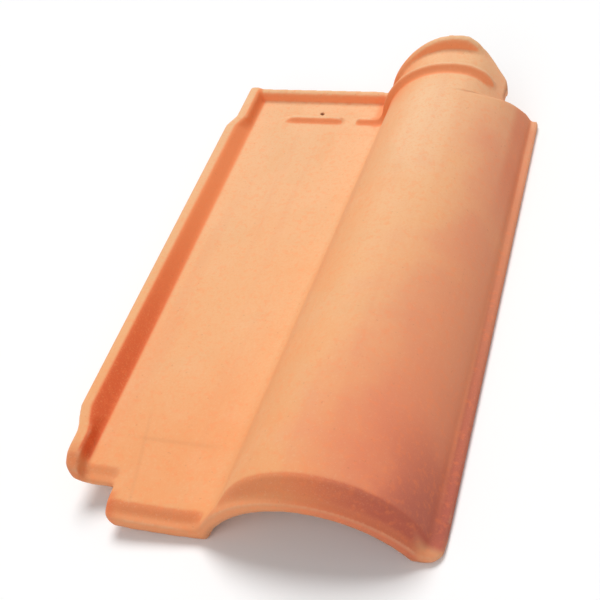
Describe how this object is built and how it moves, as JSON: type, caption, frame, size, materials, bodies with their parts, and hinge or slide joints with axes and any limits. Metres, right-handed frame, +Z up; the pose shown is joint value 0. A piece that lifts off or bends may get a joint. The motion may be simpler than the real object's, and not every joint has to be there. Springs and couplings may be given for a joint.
{
  "type": "roof tile",
  "caption": "Interlocking fired-clay roof tile with a flat pan, side rim, tapered barrel, tail lip and ribbed head.",
  "frame": {"origin": "middle of the tile's footprint, on the floor it lies on", "axes": "+Y from the tail lip to the head ribs, +X from the side rim to the flange, +Z up; the tile is rolled about Y so that lip, nib and flange touch the floor"},
  "size_m": [0.2398, 0.405, 0.0686],
  "materials": {
    "clay": "matte fired clay, unglazed"
  },
  "bodies": {
    "root": {"roof_tile": "clay"}
  },
  "joints": []
}
